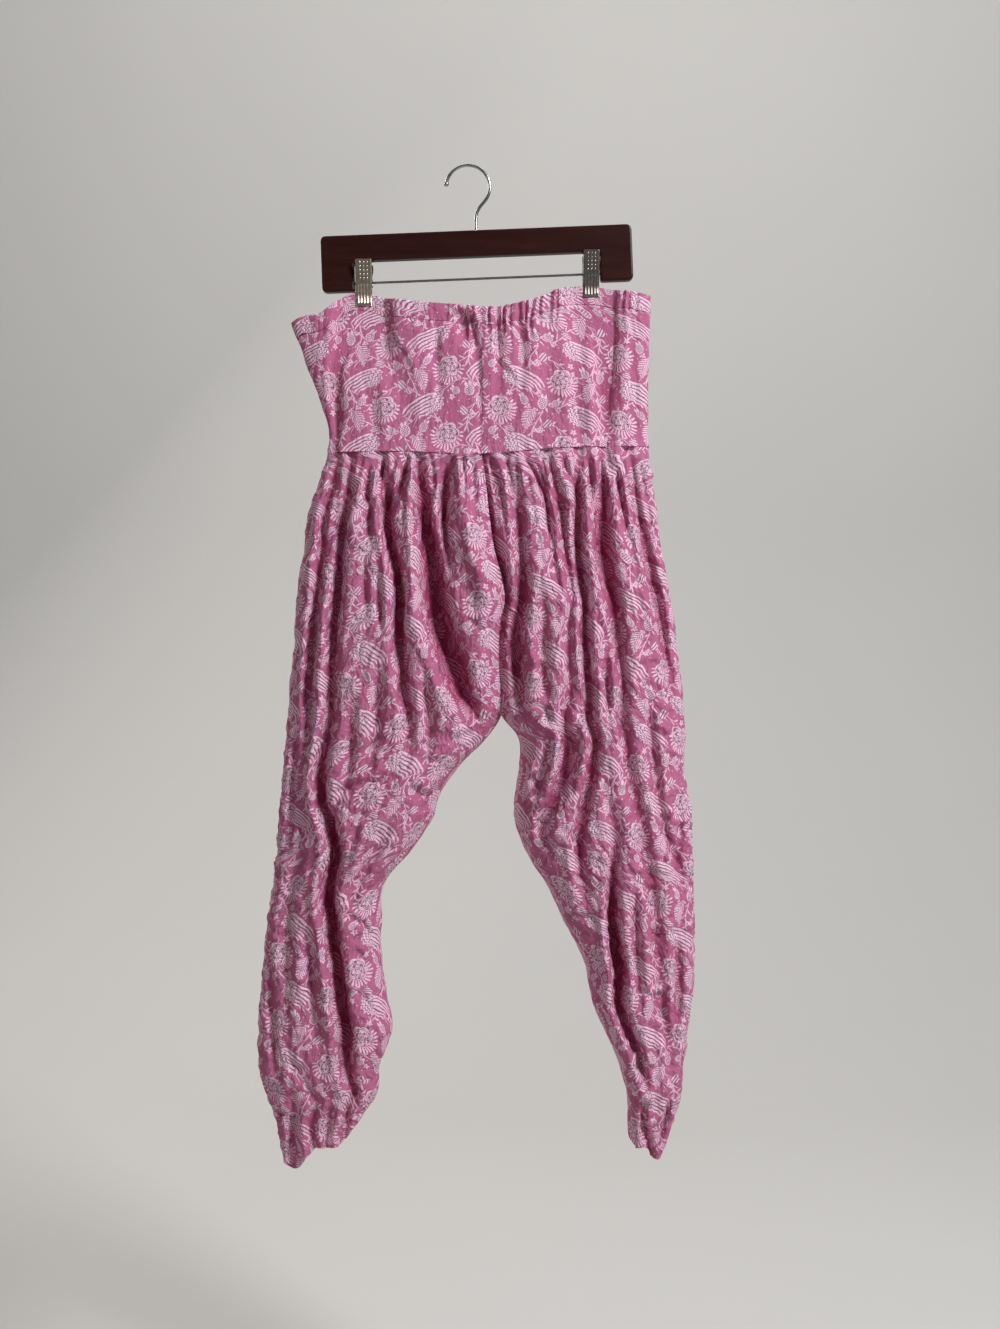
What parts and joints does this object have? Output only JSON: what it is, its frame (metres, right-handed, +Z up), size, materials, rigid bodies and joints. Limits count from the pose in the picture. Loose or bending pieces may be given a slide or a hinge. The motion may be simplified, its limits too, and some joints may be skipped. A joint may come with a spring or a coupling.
{
  "type": "harem pants on a clip hanger",
  "caption": "Full harem pants with a gathered waist casing, plain yoke and pleated tapering legs, hung by clips from a wooden skirt hanger.",
  "frame": {"origin": "inside top of the hanger's hook, where a rod or nail carries it", "axes": "+X to the viewer's right across the garment, +Y away from the viewer through the cloth, +Z up"},
  "size_m": [0.4978, 0.0878, 1.144],
  "materials": {
    "printed_cotton": "crumpled voile-weight cotton, rose pink ground with an all-over white floral block print",
    "casing_cotton": "the same printed cotton, doubled and gathered",
    "mahogany": "dark red-brown stained wood, satin lacquer",
    "chromed_wire": "bright chromed wire",
    "nickel": "pressed nickel-plated sheet, knurled and ribbed"
  },
  "bodies": {
    "root": {"waist_casing": "casing_cotton", "yoke_left": "printed_cotton", "yoke_right": "printed_cotton", "leg_left": "printed_cotton", "leg_right": "printed_cotton", "hanger_wood": "mahogany", "hanger_bar": "chromed_wire", "hanger_hook": "chromed_wire", "clip_left_front": "nickel", "clip_left_back": "nickel", "clip_left_spring": "nickel", "clip_right_front": "nickel", "clip_right_back": "nickel", "clip_right_spring": "nickel"}
  },
  "joints": []
}
